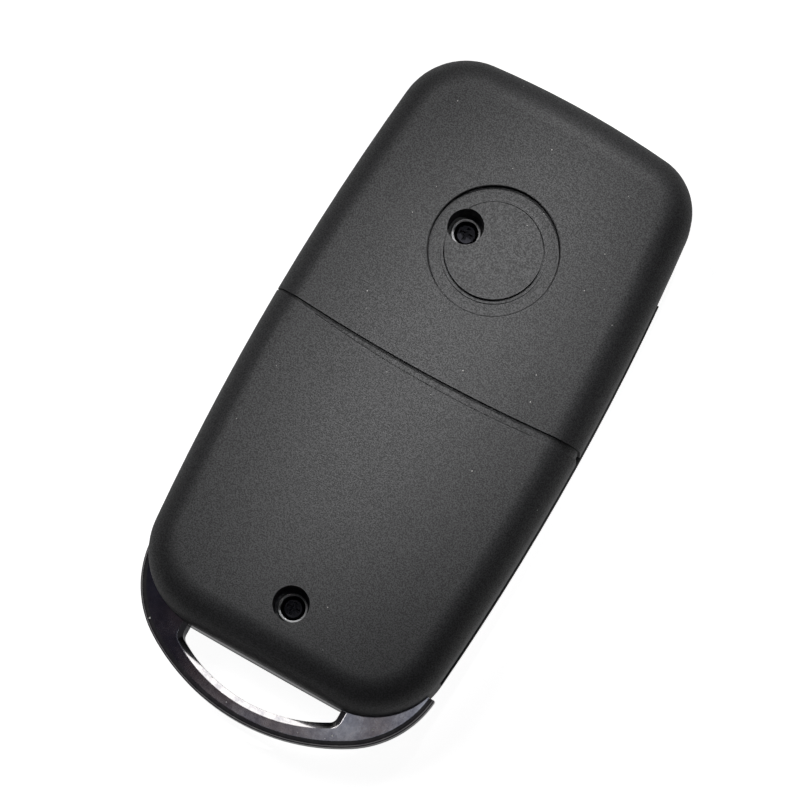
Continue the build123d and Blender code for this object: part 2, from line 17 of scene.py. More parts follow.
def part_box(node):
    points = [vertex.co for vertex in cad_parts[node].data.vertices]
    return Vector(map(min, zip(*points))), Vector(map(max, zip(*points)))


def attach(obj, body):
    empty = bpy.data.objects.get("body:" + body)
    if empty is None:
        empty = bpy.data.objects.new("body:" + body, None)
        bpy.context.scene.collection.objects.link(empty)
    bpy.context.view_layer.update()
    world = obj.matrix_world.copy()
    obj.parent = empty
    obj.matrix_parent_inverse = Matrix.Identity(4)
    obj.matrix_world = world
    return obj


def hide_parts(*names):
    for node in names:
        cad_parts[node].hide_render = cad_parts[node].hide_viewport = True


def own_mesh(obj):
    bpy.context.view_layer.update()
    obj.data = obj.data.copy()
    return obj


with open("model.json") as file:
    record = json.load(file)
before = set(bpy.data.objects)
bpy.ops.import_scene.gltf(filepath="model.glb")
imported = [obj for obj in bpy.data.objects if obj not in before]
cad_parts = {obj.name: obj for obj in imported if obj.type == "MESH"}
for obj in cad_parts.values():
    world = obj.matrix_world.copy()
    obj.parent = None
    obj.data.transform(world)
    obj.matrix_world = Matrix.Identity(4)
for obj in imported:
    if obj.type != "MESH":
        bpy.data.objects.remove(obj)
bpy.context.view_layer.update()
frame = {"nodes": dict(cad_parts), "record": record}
nodes = frame["nodes"]
mm = 0.001
back_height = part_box("rear_shell")[1][2]

# %% [markdown]
# ## The photographer's view
# The camera stands half a metre above the key and leans a few degrees towards the loop end.
# It has a long lens, so the sides of the key stay nearly parallel.
# The view is written as the bearing that points up the picture, the lean from straight down, and a small
# roll. Building the three axes by hand is clearer here than Euler angles, because each one is a direction
# on the table.

# %% Picture axes
view_bearing = radians(-38.83)
view_lean = radians(8.71)
view_roll = radians(9.34)

up = Vector((0, 0, 1))
across = Vector((cos(view_bearing), -sin(view_bearing), 0))
along = Vector((sin(view_bearing), cos(view_bearing), 0))
towards_camera = up * cos(view_lean) - along * sin(view_lean)
tilted_up = along * cos(view_lean) + up * sin(view_lean)
picture_right = across * cos(view_roll) - tilted_up * sin(view_roll)
picture_up = across * sin(view_roll) + tilted_up * cos(view_roll)
print("camera looks from", [round(v, 3) for v in towards_camera])

# %% [markdown]
# ## Camera
# The lens is found from its focal length in pixels, which is how a photograph is measured.
# The key isn't quite in the middle of the picture. A small shift of the camera, sideways in its own picture
# plane, puts the aim point on its pixel without turning the view.

# %% Camera
picture_pixels = 800
focal_pixels = 4452
sensor_width_mm = 36.0
view_distance = 500 * mm
aim_point = Vector((0, 1.67 * mm, 0))
aim_pixel = (416.2, 411.7)

metres_per_pixel = view_distance / focal_pixels
middle_pixel = picture_pixels / 2
aim_shift = picture_right * (middle_pixel - aim_pixel[0]) + picture_up * (aim_pixel[1] - middle_pixel)
camera_place = aim_point + towards_camera * view_distance + aim_shift * metres_per_pixel

camera_data = bpy.data.cameras.new("photo_camera")
camera_data.sensor_width = sensor_width_mm
camera_data.lens = focal_pixels * sensor_width_mm / picture_pixels
camera_data.clip_start = 10 * mm
camera = bpy.data.objects.new("photo_camera", camera_data)
axes = Matrix((picture_right, picture_up, towards_camera)).transposed()
camera.matrix_world = Matrix.Translation(camera_place) @ axes.to_4x4()
bpy.context.scene.collection.objects.link(camera)
bpy.context.scene.camera = camera
bpy.context.scene.view_settings.view_transform = "Standard"
print("lens", round(camera_data.lens, 1), "mm, camera at", [round(v, 4) for v in camera_place])

# %% [markdown]
# ## Small helpers for shader trees
# Every material below is a tree of nodes. Writing each link out by hand would hide what the tree does, so
# short helpers make a material, feed a socket, and place a node with all its inputs in one line.
# The paper and the cards that stand in for the room are plain rectangles, and share one helper too.

# %% Shader helpers
def new_material(name, surface="BsdfPrincipled"):
    """A material with one surface shader, joined to its output."""
    material = bpy.data.materials.new(name)
    material.use_nodes = True
    tree = material.node_tree
    tree.nodes.clear()
    shader = tree.nodes.new("ShaderNode" + surface)
    output = tree.nodes.new("ShaderNodeOutputMaterial")
    tree.links.new(shader.outputs[0], output.inputs["Surface"])
    return material, tree, shader


def feed(tree, socket, value):
    """Give an input its source: another socket, or a plain value."""
    if isinstance(value, bpy.types.NodeSocket):
        tree.links.new(value, socket)
    else:
        socket.default_value = value


def shader_node(tree, kind, **inputs):
    """A shader node whose inputs are named with underscores in place of spaces."""
    node = tree.nodes.new("ShaderNode" + kind)
    for label, value in inputs.items():
        feed(tree, node.inputs[label.replace("_", " ")], value)
    return node


def math_node(tree, operation, first, second=None, clamp=False):
    """The result of a Math node whose one or two inputs are sockets or numbers."""
    node = tree.nodes.new("ShaderNodeMath")
    node.operation = operation
    node.use_clamp = clamp
    feed(tree, node.inputs[0], first)
    if second is not None:
        feed(tree, node.inputs[1], second)
    return node.outputs[0]


def flat_sheet(name, width, height, material):
    """A rectangle round the origin."""
    mesh = bpy.data.meshes.new(name)
    corners = [(x * width / 2, y * height / 2, 0) for x, y in ((-1, -1), (1, -1), (1, 1), (-1, 1))]
    mesh.from_pydata(corners, [], [(0, 1, 2, 3)])
    mesh.materials.append(material)
    sheet = bpy.data.objects.new(name, mesh)
    bpy.context.scene.collection.objects.link(sheet)
    return sheet


print("helpers for materials and flat sheets")

# %% [markdown]
# ## Paper
# The key was photographed on plain white paper that is almost burnt out.
# Real light strong enough for that would also lift the underside of the key, so the paper is made white for
# the eye with Light Path instead. The camera sees it lifted almost to white, a mirror sees about a third of
# that lift, and the light that it sends on to the key stays the same. Its faint shadow stays too.

# %% Paper floor
floor_width = 3.0
floor_gap = 0.03 * mm
paper_white = (0.62, 0.62, 0.62, 1)
paper_lift_seen = 0.94
paper_lift_mirrored = 0.35

paper, tree, shader = new_material("white_paper")
shader.inputs["Base Color"].default_value = paper_white
shader.inputs["Roughness"].default_value = 0.9
shader.inputs["Emission Color"].default_value = (1, 1, 1, 1)
ray_kinds = shader_node(tree, "LightPath").outputs
seen = math_node(tree, "MULTIPLY", ray_kinds["Is Camera Ray"], paper_lift_seen)
mirrored = math_node(tree, "MULTIPLY", ray_kinds["Is Glossy Ray"], paper_lift_mirrored)
feed(tree, shader.inputs["Emission Strength"], math_node(tree, "ADD", seen, mirrored))
floor = flat_sheet("paper", floor_width, floor_width, paper)
floor.location.z = -floor_gap
print("floor", floor_width, "m square")

# %% [markdown]
# ## Lamps
# A desk lamp beyond the hinge end lights the middle of the back most. Its pool of light is an oval that lies
# along the key, so the long edges are dimmer than the middle. A spot lamp that is scaled on one side throws
# such an oval, and a blend of 1 makes its edge fade all the way in.
# A weak ceiling lamp fills the middle, and a weak window comes from the left. The round edges of the key go
# dark, because they mirror an unlit room.

# %% Room and lamps
room_grey = (0.03, 0.03, 0.033, 1)
lamp_distance = 0.6
spot_softness = 12 * mm

world = bpy.data.worlds.new("studio_room")
world.use_nodes = True
world.node_tree.nodes["Background"].inputs["Color"].default_value = room_grey
bpy.context.scene.world = world


def above_key(off_upright, bearing, distance):
    """A place over the table, by its angle off the upright and its bearing from +X towards +Y."""
    lean, turn = radians(off_upright), radians(bearing)
    return distance * Vector((sin(lean) * cos(turn), sin(lean) * sin(turn), cos(lean)))


def add_lamp(name, kind, off_upright, bearing, power, aim=(0, 0, 0)):
    """A lamp that stands in a direction from the key and looks at its aim."""
    data = bpy.data.lights.new(name, kind)
    data.energy = power
    lamp = bpy.data.objects.new(name, data)
    lamp.location = above_key(off_upright, bearing, lamp_distance)
    lamp.rotation_euler = (lamp.location - Vector(aim)).to_track_quat("Z", "Y").to_euler()
    bpy.context.scene.collection.objects.link(lamp)
    return lamp


def add_spot(name, off_upright, bearing, power, aim, cone, narrowing=1.0, turn=0.0):
    """A spot lamp that fades from its middle, whose round pool can be made oval and turned."""
    spot = add_lamp(name, "SPOT", off_upright, bearing, power, aim)
    spot.data.spot_size = radians(cone)
    spot.data.spot_blend = 1.0
    spot.data.shadow_soft_size = spot_softness
    spot.scale.x = narrowing
    spot.rotation_euler.rotate_axis("Z", radians(turn))


add_spot(
    "desk_lamp", off_upright=27, bearing=96, power=11.3, aim=(0, 0.0068, 0.0155), cone=8.65,
    narrowing=0.43, turn=-15,
)
add_spot("ceiling_lamp", off_upright=9, bearing=55, power=1.9, aim=(-0.003, 0.004, 0.0155), cone=7.4)
window = add_lamp("window", "AREA", off_upright=29, bearing=160, power=0.95)
window.data.shape = "SQUARE"
window.data.size = 0.2

# %% [markdown]
# ## What the chrome sees
# A plated loop has hardly any colour of its own: it shows the room. Two cards stand in for the room.
# Only mirror rays see the cards, so they cast no shadow and light nothing by themselves.

# %% Reflection cards
def add_card(name, off_upright, bearing, distance, width, height):
    """A glowing card that faces the key from a direction and is seen by mirror rays only."""
    material, tree, glow = new_material(name, "Emission")
    card = flat_sheet(name, width, height, material)
    card.location = above_key(off_upright, bearing, distance)
    card.rotation_euler = card.location.to_track_quat("Z", "Y").to_euler()
    for kind in ("camera", "diffuse", "shadow", "transmission"):
        setattr(card, f"visible_{kind}", False)
    return tree, glow.inputs


print("helper for cards")

# %% [markdown]
# ## Ceiling and wall
# The upper card is the dim ceiling that level faces mirror, clouded brown and blue by a noise and a colour
# ramp. It grows lighter towards the blade side, because the photo shows a bluish white patch at that end of
# the loop.
# The far card is a bright wall beyond the hinge end. The bevel round the ring slot mirrors it as a white
# band.

# %% Ceiling and wall
ceiling_middle_x = -58 * mm
ceiling_slope = 3.4
cloud_shadow = (0.42, (0.010, 0.012, 0.022, 1))
cloud_brown = (0.54, (0.105, 0.068, 0.058, 1))
cloud_blue = (0.70, (0.46, 0.51, 0.60, 1))

tree, glow = add_card("dim_ceiling", off_upright=9, bearing=129, distance=0.62, width=0.36, height=0.36)
card_place = shader_node(tree, "TexCoord").outputs["Object"]
clouds = shader_node(tree, "TexNoise", Vector=card_place, Scale=62.0, Detail=3.0, Distortion=1.5)
room_place = shader_node(tree, "NewGeometry").outputs["Position"]
room_x = shader_node(tree, "SeparateXYZ", Vector=room_place).outputs["X"]
past_middle = math_node(tree, "SUBTRACT", room_x, ceiling_middle_x)
slope = math_node(tree, "MULTIPLY", past_middle, ceiling_slope)
lighter = math_node(tree, "ADD", slope, clouds.outputs["Fac"])
ramp = shader_node(tree, "ValToRGB", Fac=lighter)
stops = ramp.color_ramp.elements
for stop, (position, colour) in ((stops[0], cloud_shadow), (stops[1], cloud_blue)):
    stop.position = position
    stop.color = colour
stops.new(cloud_brown[0]).color = cloud_brown[1]
feed(tree, glow["Color"], ramp.outputs["Color"])

tree, glow = add_card("bright_wall", off_upright=50, bearing=97, distance=0.75, width=0.7, height=0.4)
glow["Strength"].default_value = 1.8
print("cards dim_ceiling and bright_wall")

# %% [markdown]
# ## Shared surface effects
# Several finishes on this key need the same small things: the pitted grain of spark-eroded moulds, settled
# dust, the fine lines of a brushed metal and edges that are polished and painted lighter as a highlight.
# Each of them is one node group here, which gives only masks and heights.
# The shaders stay in the materials, so each finish decides for itself what a mask does.

# %% Node group helpers
def new_group(name, inputs, outputs):
    """An empty shader group with a Place, number inputs and number outputs, and its inner sockets."""
    group = bpy.data.node_groups.new(name, "ShaderNodeTree")
    group.interface.new_socket("Place", in_out="INPUT", socket_type="NodeSocketVector")
    for label, value in inputs.items():
        socket = group.interface.new_socket(label, in_out="INPUT", socket_type="NodeSocketFloat")
        socket.default_value = value
    for label in outputs:
        group.interface.new_socket(label, in_out="OUTPUT", socket_type="NodeSocketFloat")
    return group, group.nodes.new("NodeGroupInput").outputs, group.nodes.new("NodeGroupOutput").inputs


def scaled_place(tree, place, size):
    """Coordinates in which one unit is one grain of the given size."""
    scale = tree.nodes.new("ShaderNodeVectorMath")
    scale.operation = "SCALE"
    feed(tree, scale.inputs[0], place)
    feed(tree, scale.inputs["Scale"], math_node(tree, "DIVIDE", 1.0, size))
    return scale.outputs[0]


print("helpers for shared effects")

# %% [markdown]
# ## Spark grain
# The mould of this case was cut by sparks, which leave craters of mixed size. A photograph of the grain would
# show its seams, so two noises of different scale make it. One is the height of the pits, and the other, with
# more contrast, is the mottle of dull and shiny spots.

# %% Spark grain
spark_grain, given, made = new_group(
    "spark_grain", {"Grain Size": 0.22 * mm, "Contrast": 1.0}, ("Height", "Mottle")
)
craters = scaled_place(spark_grain, given["Place"], given["Grain Size"])
fine = shader_node(spark_grain, "TexNoise", Vector=craters, Scale=1.0, Detail=2.0, Roughness=0.6)
wide = shader_node(spark_grain, "TexNoise", Vector=craters, Scale=0.8, Detail=3.0, Roughness=0.75)
from_middle = math_node(spark_grain, "SUBTRACT", wide.outputs["Fac"], 0.5)
steeper = math_node(spark_grain, "MULTIPLY", from_middle, given["Contrast"])
feed(spark_grain, made["Height"], fine.outputs["Fac"])
feed(spark_grain, made["Mottle"], math_node(spark_grain, "ADD", steeper, 0.5, clamp=True))
print("group", spark_grain.name)

# %% [markdown]
# ## Dust specks
# A key that was carried has a few pale specks on it. A Voronoi pattern cuts the surface into cells with a
# random colour each. The red of that colour picks the few cells that hold a speck, and the green gives the
# speck its own size, so that no two look alike.

# %% Dust specks
dust_specks, given, made = new_group(
    "dust_specks", {"Spacing": 0.9 * mm, "Radius": 0.06, "Share": 0.1}, ("Mask",)
)
spaced = scaled_place(dust_specks, given["Place"], given["Spacing"])
cells = shader_node(dust_specks, "TexVoronoi", Vector=spaced, Scale=1.0)
draw = shader_node(dust_specks, "SeparateColor", Color=cells.outputs["Color"]).outputs
chosen = math_node(dust_specks, "LESS_THAN", draw["Red"], given["Share"])
larger = math_node(dust_specks, "ADD", draw["Green"], 0.5)
reach = math_node(dust_specks, "MULTIPLY", given["Radius"], larger)
near = math_node(dust_specks, "LESS_THAN", cells.outputs["Distance"], reach)
feed(dust_specks, made["Mask"], math_node(dust_specks, "MULTIPLY", chosen, near))
print("group", dust_specks.name)

# %% [markdown]
# ## Brushed lines
# A belt leaves long fine scratches along its stroke. They are a noise whose coordinates are squeezed across
# the stroke and stretched along it, which costs less than drawing lines and never repeats.

# %% Brushed lines
brushed_lines, given, made = new_group(
    "brushed_lines", {"Line Width": 0.06 * mm, "Stretch": 40.0}, ("Height",)
)
along_stroke = math_node(brushed_lines, "DIVIDE", 1.0, given["Stretch"])
squeeze = shader_node(brushed_lines, "CombineXYZ", X=1.0, Y=along_stroke, Z=1.0)
stroke = brushed_lines.nodes.new("ShaderNodeVectorMath")
stroke.operation = "MULTIPLY"
feed(brushed_lines, stroke.inputs[0], scaled_place(brushed_lines, given["Place"], given["Line Width"]))
feed(brushed_lines, stroke.inputs[1], squeeze.outputs[0])
lines = shader_node(brushed_lines, "TexNoise", Vector=stroke.outputs[0], Scale=1.0, Detail=3.0)
feed(brushed_lines, made["Height"], lines.outputs["Fac"])
print("group", brushed_lines.name)

# %% [markdown]
# ## Edge polish and painted highlight
# A pocket polishes the edges of a key first, so the plastics get a lower roughness there. The same mask also
# paints the edges lighter, which is a painted highlight. The Bevel node gives the normal that a rounded edge
# would have.
# It differs from the surface's own normal only near an edge, so the dot product of the two finds the edges.

# %% Edge polish and painted highlight
edge_reach = 0.25 * mm
edge_gain = 3.0
edge_polish_and_highlight, given, made = new_group("edge_polish_and_highlight", {"Strength": 1.0}, ("Mask",))
rounded = shader_node(edge_polish_and_highlight, "Bevel", Radius=edge_reach)
rounded.samples = 2
match = edge_polish_and_highlight.nodes.new("ShaderNodeVectorMath")
match.operation = "DOT_PRODUCT"
feed(edge_polish_and_highlight, match.inputs[0], rounded.outputs[0])
feed(edge_polish_and_highlight, match.inputs[1], shader_node(edge_polish_and_highlight, "NewGeometry").outputs["Normal"])
# The mask feeds both polish (roughness) and a painted highlight (lighter edge colour).
apart = math_node(edge_polish_and_highlight, "SUBTRACT", 1.0, match.outputs["Value"])
stronger = math_node(edge_polish_and_highlight, "MULTIPLY", apart, edge_gain)
feed(edge_polish_and_highlight, made["Mask"], math_node(edge_polish_and_highlight, "MULTIPLY", stronger, given["Strength"], clamp=True))
print("group", edge_polish_and_highlight.name)

# %% [markdown]
# ## Finishes
# A finish is a Principled shader whose base colour, roughness and normal are fed by those groups.
# One function builds the common wiring, and each material gives its own sizes and strengths.
# The Bevel node rounds every sharp CAD edge a little in shading, because no moulded or machined edge is a
# knife.

# %% Finish helpers
def object_place(tree):
    """Coordinates fixed to the piece, in metres."""
    return shader_node(tree, "TexCoord").outputs["Object"]


def place_group(tree, group, place, **values):
    """The outputs of one use of a shared effect, with its own values."""
    node = tree.nodes.new("ShaderNodeGroup")
    node.node_tree = group
    feed(tree, node.inputs["Place"], place)
    for label, value in values.items():
        feed(tree, node.inputs[label.replace("_", " ")], value)
    return node.outputs


def blend_colour(tree, mask, first, second):
    """A mix of two colours, each a socket or a plain colour."""
    mix = tree.nodes.new("ShaderNodeMix")
    mix.data_type = "RGBA"
    feed(tree, mix.inputs["Factor"], mask)
    colour_inputs = [socket for socket in mix.inputs if socket.type == "RGBA"]
    for socket, value in zip(colour_inputs, (first, second)):
        feed(tree, socket, (*value, 1) if isinstance(value, tuple) else value)
    return next(socket for socket in mix.outputs if socket.type == "RGBA")


def spread(tree, value, low, high):
    """A nought-to-one value spread between two numbers."""
    return shader_node(tree, "MapRange", Value=value, To_Min=low, To_Max=high).outputs["Result"]


def bumped_normal(tree, height, depth, edge_radius):
    """A bump over the softened edges of the mesh."""
    softened = shader_node(tree, "Bevel", Radius=edge_radius)
    softened.samples = 3
    bump = shader_node(tree, "Bump", Height=height, Distance=depth, Strength=1.0, Normal=softened.outputs[0])
    return bump.outputs[0]


print("helpers for finishes")

# %% [markdown]
# ## Moulded plastics
# The case is matt black plastic with a coarse grain, the buttons are smoother, the tray is as it left its
# mould and the pad is dull silicone. They differ only in values, so one function makes them all.
# The mottle blends two near blacks, the edges are painted lighter as a highlight and made shinier, and dust
# lies on top.

# %% Moulded plastics
dust_grey = (0.45, 0.44, 0.42)
moulded_edge = 0.08 * mm
moulded_polish_and_highlight = 0.6
painted_edge_highlight = 1.5
rubbed_polish = 0.15
roughness_swing = 0.08


def moulded_plastic(name, dark, light, rough, grain, contrast, depth, dust=0.0):
    """A pigmented plastic from a spark-eroded mould."""
    material, tree, shader = new_material(name)
    place = object_place(tree)
    pits = place_group(tree, spark_grain, place, Grain_Size=grain, Contrast=contrast)
    specks = place_group(tree, dust_specks, place, Share=dust)
    edges = place_group(tree, edge_polish_and_highlight, place, Strength=moulded_polish_and_highlight)
    body = blend_colour(tree, pits["Mottle"], dark, light)
    # Painted highlight: the edge mask paints the edges lighter than the plastic.
    body = blend_colour(tree, edges["Mask"], body, tuple(painted_edge_highlight * v for v in light))
    feed(tree, shader.inputs["Base Color"], blend_colour(tree, specks["Mask"], body, dust_grey))
    grained = spread(tree, pits["Mottle"], rough + roughness_swing, rough - roughness_swing)
    rubbed = math_node(tree, "MULTIPLY", edges["Mask"], rubbed_polish)
    feed(tree, shader.inputs["Roughness"], math_node(tree, "SUBTRACT", grained, rubbed))
    feed(tree, shader.inputs["Normal"], bumped_normal(tree, pits["Height"], depth, moulded_edge))
    return material


case_plastic = moulded_plastic(
    "case_plastic", dark=(0.006, 0.006, 0.0065), light=(0.041, 0.041, 0.043),
    rough=0.55, grain=0.125 * mm, contrast=6.5, depth=0.02 * mm, dust=0.08,
)
button_plastic = moulded_plastic(
    "button_plastic", dark=(0.016, 0.016, 0.017), light=(0.03, 0.03, 0.031),
    rough=0.45, grain=0.12 * mm, contrast=1.5, depth=0.004 * mm, dust=0.04,
)
tray_plastic = moulded_plastic(
    "tray_plastic", dark=(0.02, 0.02, 0.02), light=(0.045, 0.045, 0.045),
    rough=0.4, grain=0.3 * mm, contrast=1.5, depth=0.003 * mm,
)
pad_rubber = moulded_plastic(
    "pad_rubber", dark=(0.05, 0.05, 0.052), light=(0.085, 0.085, 0.088),
    rough=0.75, grain=0.15 * mm, contrast=1.5, depth=0.004 * mm, dust=0.08,
)
print("plastics", case_plastic.name, button_plastic.name, tray_plastic.name, pad_rubber.name)

# %% [markdown]
# ## Metals
# The loop and the release cap are plated, the hub is coated black, and blade, washers, wire and screws are
# steel. All of them have fine lines, slow clouds and edges painted lighter as a highlight, so one function
# makes them.
# Dust on metal is no metal, so a speck turns Metallic off where it lies.
# The loop's upright sides mirror a dark room that the cards can't show. There the colour and the Specular
# Tint fall off with the upward part of the normal.

# %% Metals
fleck_white = (0.75, 0.74, 0.72)
fleck_spacing, fleck_radius = 0.7 * mm, 0.12
metal_cloud_size = 1.2 * mm
metal_edge = 0.1 * mm
metal_highlight_strength = 0.8
painted_metal_edge_highlight = 1.25
stroke_swing = 0.2
fleck_roughness = 0.6
side_tint, face_tint = (0.12, 0.12, 0.13), (1.0, 1.0, 1.0)
side_gain, side_falloff = 1.1, 3.0


def plated_metal(name, dark, light, rough, line_width, stretch, depth, flecks=0.0, cloudy=1.0, side=None):
    """A metal or a plating with fine lines and clouds, and perhaps a few flecks or dark upright sides."""
    material, tree, shader = new_material(name)
    place = object_place(tree)
    strokes = place_group(tree, brushed_lines, place, Line_Width=line_width, Stretch=stretch)
    cloud = place_group(tree, spark_grain, place, Grain_Size=metal_cloud_size, Contrast=cloudy)
    specks = place_group(tree, dust_specks, place, Spacing=fleck_spacing, Radius=fleck_radius, Share=flecks)
    edges = place_group(tree, edge_polish_and_highlight, place, Strength=metal_highlight_strength)
    body = blend_colour(tree, cloud["Mottle"], dark, light)
    # Painted highlight: the edge mask paints the edges of the metal lighter.
    body = blend_colour(tree, edges["Mask"], body, tuple(min(1.0, painted_metal_edge_highlight * v) for v in light))
    body = blend_colour(tree, specks["Mask"], body, fleck_white)
    if side is not None:
        normal = shader_node(tree, "NewGeometry").outputs["Normal"]
        upward = math_node(tree, "ABSOLUTE", shader_node(tree, "SeparateXYZ", Vector=normal).outputs["Z"])
        face = math_node(tree, "MULTIPLY", upward, side_gain, clamp=True)
        face = math_node(tree, "POWER", face, side_falloff)
        body = blend_colour(tree, face, side, body)
        feed(tree, shader.inputs["Specular Tint"], blend_colour(tree, face, side_tint, face_tint))
    feed(tree, shader.inputs["Base Color"], body)
    feed(tree, shader.inputs["Metallic"], math_node(tree, "SUBTRACT", 1.0, specks["Mask"]))
    worn = spread(tree, strokes["Height"], rough * (1 - stroke_swing), rough * (1 + stroke_swing))
    dusty = math_node(tree, "MULTIPLY", specks["Mask"], fleck_roughness)
    feed(tree, shader.inputs["Roughness"], math_node(tree, "ADD", worn, dusty))
    feed(tree, shader.inputs["Normal"], bumped_normal(tree, strokes["Height"], depth, metal_edge))
    return material


loop_chrome = plated_metal(
    "loop_chrome", dark=(0.36, 0.35, 0.38), light=(0.76, 0.73, 0.71), rough=0.06,
    line_width=0.35 * mm, stretch=3.0, depth=0.0006 * mm, flecks=0.3, cloudy=2.2, side=(0.035, 0.035, 0.04),
)
cap_chrome = plated_metal(
    "cap_chrome", dark=(0.55, 0.55, 0.56), light=(0.72, 0.72, 0.73), rough=0.22,
    line_width=0.05 * mm, stretch=30.0, depth=0.0006 * mm,
)
hub_metal = plated_metal(
    "hub_metal", dark=(0.03, 0.03, 0.032), light=(0.07, 0.07, 0.073), rough=0.42,
    line_width=0.2 * mm, stretch=2.0, depth=0.003 * mm,
)
blade_steel = plated_metal(
    "blade_steel", dark=(0.50, 0.50, 0.49), light=(0.66, 0.66, 0.64), rough=0.28,
    line_width=0.05 * mm, stretch=60.0, depth=0.0012 * mm,
)
washer_steel = plated_metal(
    "washer_steel", dark=(0.42, 0.42, 0.43), light=(0.56, 0.56, 0.56), rough=0.33,
    line_width=0.06 * mm, stretch=8.0, depth=0.001 * mm,
)
spring_steel = plated_metal(
    "spring_steel", dark=(0.30, 0.30, 0.31), light=(0.46, 0.46, 0.47), rough=0.3,
    line_width=0.05 * mm, stretch=12.0, depth=0.0008 * mm,
)
screw_steel = plated_metal(
    "screw_steel", dark=(0.006, 0.006, 0.008), light=(0.02, 0.02, 0.023), rough=0.42,
    line_width=0.08 * mm, stretch=2.0, depth=0.0015 * mm,
)
print("metals", loop_chrome.name, cap_chrome.name, hub_metal.name, blade_steel.name)

# %% [markdown]
# ## The two mouldings, with clean shading
# A CAD face arrives as long thin triangles, each face with its own edge points, and its shading shows faint
# streaks where a flat runs into a round. A copy of each moulding is welded, its true corners are marked by
# angle, and its normals are weighted by area, so that flats stay flat and rounds run smoothly.
# The shape stays exactly the same.

# %% Welded shells
weld_distance = 0.0005 * mm
shell_corner_degrees = 28


def sharpen(mesh, degrees):
    """Smooth shading with sharp edges where two faces meet at more than an angle."""
    if "custom_normal" in mesh.attributes:
        mesh.attributes.remove(mesh.attributes["custom_normal"])
    for polygon in mesh.polygons:
        polygon.use_smooth = True
    mesh.set_sharp_from_angle(angle=radians(degrees))


def bake(piece):
    """Turn a piece with modifiers into a plain mesh and drop the modifiers."""
    graph = bpy.context.evaluated_depsgraph_get()
    mesh = bpy.data.meshes.new_from_object(piece.evaluated_get(graph), depsgraph=graph)
    mesh.name = piece.name
    piece.modifiers.clear()
    old = piece.data
    piece.data = mesh
    bpy.data.meshes.remove(old)


def welded_copy(name, node):
    """A copy of a CAD node with merged points, sharp corners and area-weighted normals, in its place."""
    mesh = nodes[node].data.copy()
    mesh.name = name
    shape = bmesh.new()
    shape.from_mesh(mesh)
    bmesh.ops.remove_doubles(shape, verts=shape.verts, dist=weld_distance)
    shape.to_mesh(mesh)
    shape.free()
    sharpen(mesh, shell_corner_degrees)
    copy = bpy.data.objects.new(name, mesh)
    bpy.context.scene.collection.objects.link(copy)
    weigh = copy.modifiers.new("weigh", "WEIGHTED_NORMAL")
    weigh.keep_sharp = True
    bake(copy)
    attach(copy, "case")
    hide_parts(node)
    return copy


moulded_shells = [welded_copy("rear_moulding", "rear_shell"), welded_copy("front_moulding", "front_shell")]
print([(shell.name, len(shell.data.polygons)) for shell in moulded_shells])

# %% [markdown]
# ## Dressing the CAD nodes
# The other CAD pieces have the right shape already, so they only get their finish. It goes into the material
# slots of the object, because the CAD meshes themselves stay as they are.

# %% Dress the CAD nodes
finishes = {
    case_plastic: ("rear_shell", "front_shell"),
    button_plastic: ("lock_button", "unlock_button", "boot_button"),
    pad_rubber: ("button_pad",),
    tray_plastic: ("board_tray",),
    loop_chrome: ("ring_loop",),
    cap_chrome: ("release_cap",),
    hub_metal: ("blade_hub",),
    blade_steel: ("key_blade",),
    washer_steel: ("hub_washer", "hub_cover", "latch_core"),
    spring_steel: ("flip_spring", "blade_pin"),
    screw_steel: ("case_screw_upper", "case_screw_lower"),
}
for finish, members in finishes.items():
    for member in members:
        for slot in nodes[member].material_slots:
            slot.material = finish
for shell in moulded_shells:
    shell.data.materials.clear()
    shell.data.materials.append(case_plastic)
print(sum(len(members) for members in finishes.values()), "nodes dressed")

# %% [markdown]
# ## Fine pieces along a path
# Threads, the painted shade lines, the coil, the printed signs and the rims of the screw wells are all a
# small profile swept along a path. Geometry Nodes does this well: the path comes in as points or edges, or is
# a spiral made inside, and the sizes are named inputs.
# Each result is turned into a plain mesh at once, so the piece that rides the frame has no live modifier.

# %% Geometry Nodes helpers
def new_geometry(name, sizes):
    """An empty geometry group with a mesh coming in, named sizes and a mesh going out."""
    group = bpy.data.node_groups.new(name, "GeometryNodeTree")
    group.interface.new_socket("Geometry", in_out="INPUT", socket_type="NodeSocketGeometry")
    for label, value in sizes.items():
        socket = group.interface.new_socket(label, in_out="INPUT", socket_type="NodeSocketFloat")
        socket.default_value = value
    group.interface.new_socket("Geometry", in_out="OUTPUT", socket_type="NodeSocketGeometry")
    return group, group.nodes.new("NodeGroupInput").outputs, group.nodes.new("NodeGroupOutput").inputs


def step(group, kind, inputs, **settings):
    """The output of a geometry node whose inputs are sockets or plain values."""
    node = group.nodes.new("GeometryNode" + kind)
    for key, value in settings.items():
        setattr(node, key, value)
    for label, value in inputs.items():
        feed(group, node.inputs[label], value)
    return node.outputs[0]


def sweep(group, path, profile):
    """A profile swept along a path, with closed ends."""
    return step(group, "CurveToMesh", {"Curve": path, "Profile Curve": profile, "Fill Caps": True})


def close_group(group, geometry, finish, made):
    """Realise the instances, give them their finish and send them out."""
    real = step(group, "RealizeInstances", {"Geometry": geometry})
    dressed = step(group, "SetMaterial", {"Geometry": real, "Material": finish})
    feed(group, made["Geometry"], dressed)


def swept_piece(name, points, edges, group, body, slot, **sizes):
    """A plain mesh made by a geometry group from points and edges, riding a body. The slot argument is not
    used.
    """
    mesh = bpy.data.meshes.new(name)
    mesh.from_pydata(points, edges, [])
    piece = bpy.data.objects.new(name, mesh)
    bpy.context.scene.collection.objects.link(piece)
    modifier = piece.modifiers.new("build", "NODES")
    modifier.node_group = group
    sockets = {item.name: item.identifier for item in group.interface.items_tree if item.in_out == "INPUT"}
    for label, value in sizes.items():
        modifier[sockets[label.replace("_", " ")]] = value
    bake(piece)
    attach(piece, body)
    return piece


print("helpers for swept pieces")
